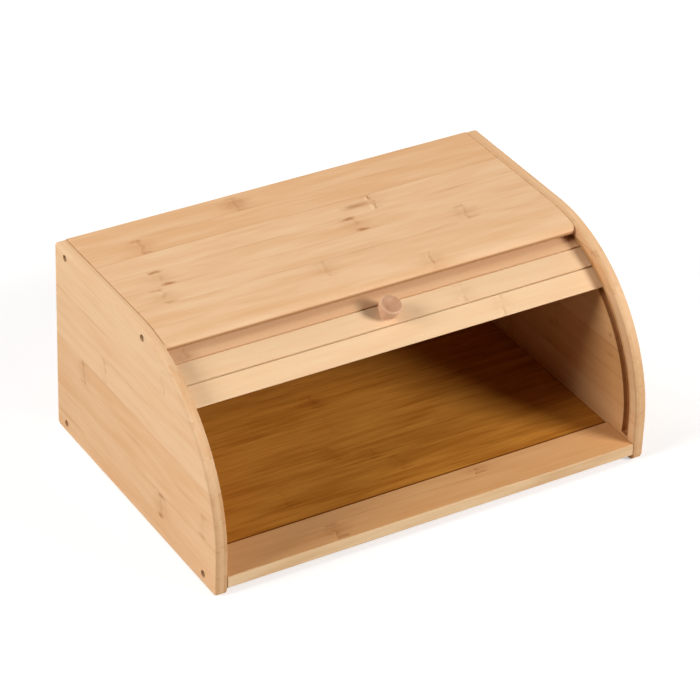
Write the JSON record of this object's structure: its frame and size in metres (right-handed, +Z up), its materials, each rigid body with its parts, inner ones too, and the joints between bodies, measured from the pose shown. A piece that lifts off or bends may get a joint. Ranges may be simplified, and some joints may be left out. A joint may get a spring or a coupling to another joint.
{
  "type": "bread box",
  "caption": "Bamboo bread box with a roll-up tambour door in curved side panels, a flat top board, a low front sill and a turned knob.",
  "frame": {"origin": "middle of the footprint, on the surface that the side panels stand on", "axes": "+X across the box to its right as seen from the open front, -Y out of the open front, +Z up"},
  "size_m": [0.4, 0.272, 0.175],
  "materials": {
    "side_bamboo": "satin lacquered bamboo, grain front to back",
    "board_bamboo": "satin lacquered bamboo, grain side to side",
    "rail_bamboo": "satin lacquered bamboo, grain side to side",
    "slat_bamboo": "satin lacquered bamboo, grain side to side",
    "sheet_bamboo": "darker amber bamboo sheet",
    "knob_wood": "turned, satin",
    "canvas": "plain woven canvas",
    "screw_steel": "bronzed",
    "knob_screw_steel": "zinc plated"
  },
  "bodies": {
    "case": {"left_side_panel": "side_bamboo", "right_side_panel": "side_bamboo", "top_board": "board_bamboo", "front_sill": "rail_bamboo", "rear_rail": "rail_bamboo", "floor_panel": "sheet_bamboo", "back_panel": "sheet_bamboo", "left_case_screws": "screw_steel", "right_case_screws": "screw_steel"},
    "roll_door": {"slat_01": "slat_bamboo", "slat_02": "slat_bamboo", "slat_03": "slat_bamboo", "slat_04": "slat_bamboo", "slat_05": "slat_bamboo", "slat_06": "slat_bamboo", "slat_07": "slat_bamboo", "slat_08": "slat_bamboo", "slat_09": "slat_bamboo", "slat_10": "slat_bamboo", "canvas_backing": "canvas", "door_knob": "knob_wood", "knob_screw": "knob_screw_steel"}
  },
  "joints": [
    {"name": "roll_door_travel", "type": "hinge", "parent": "case", "child": "roll_door", "pos_m": [0, 0.0055, 0.031], "axis": [-1, 0, 0], "range_deg": [-57.2, 4.5]}
  ]
}
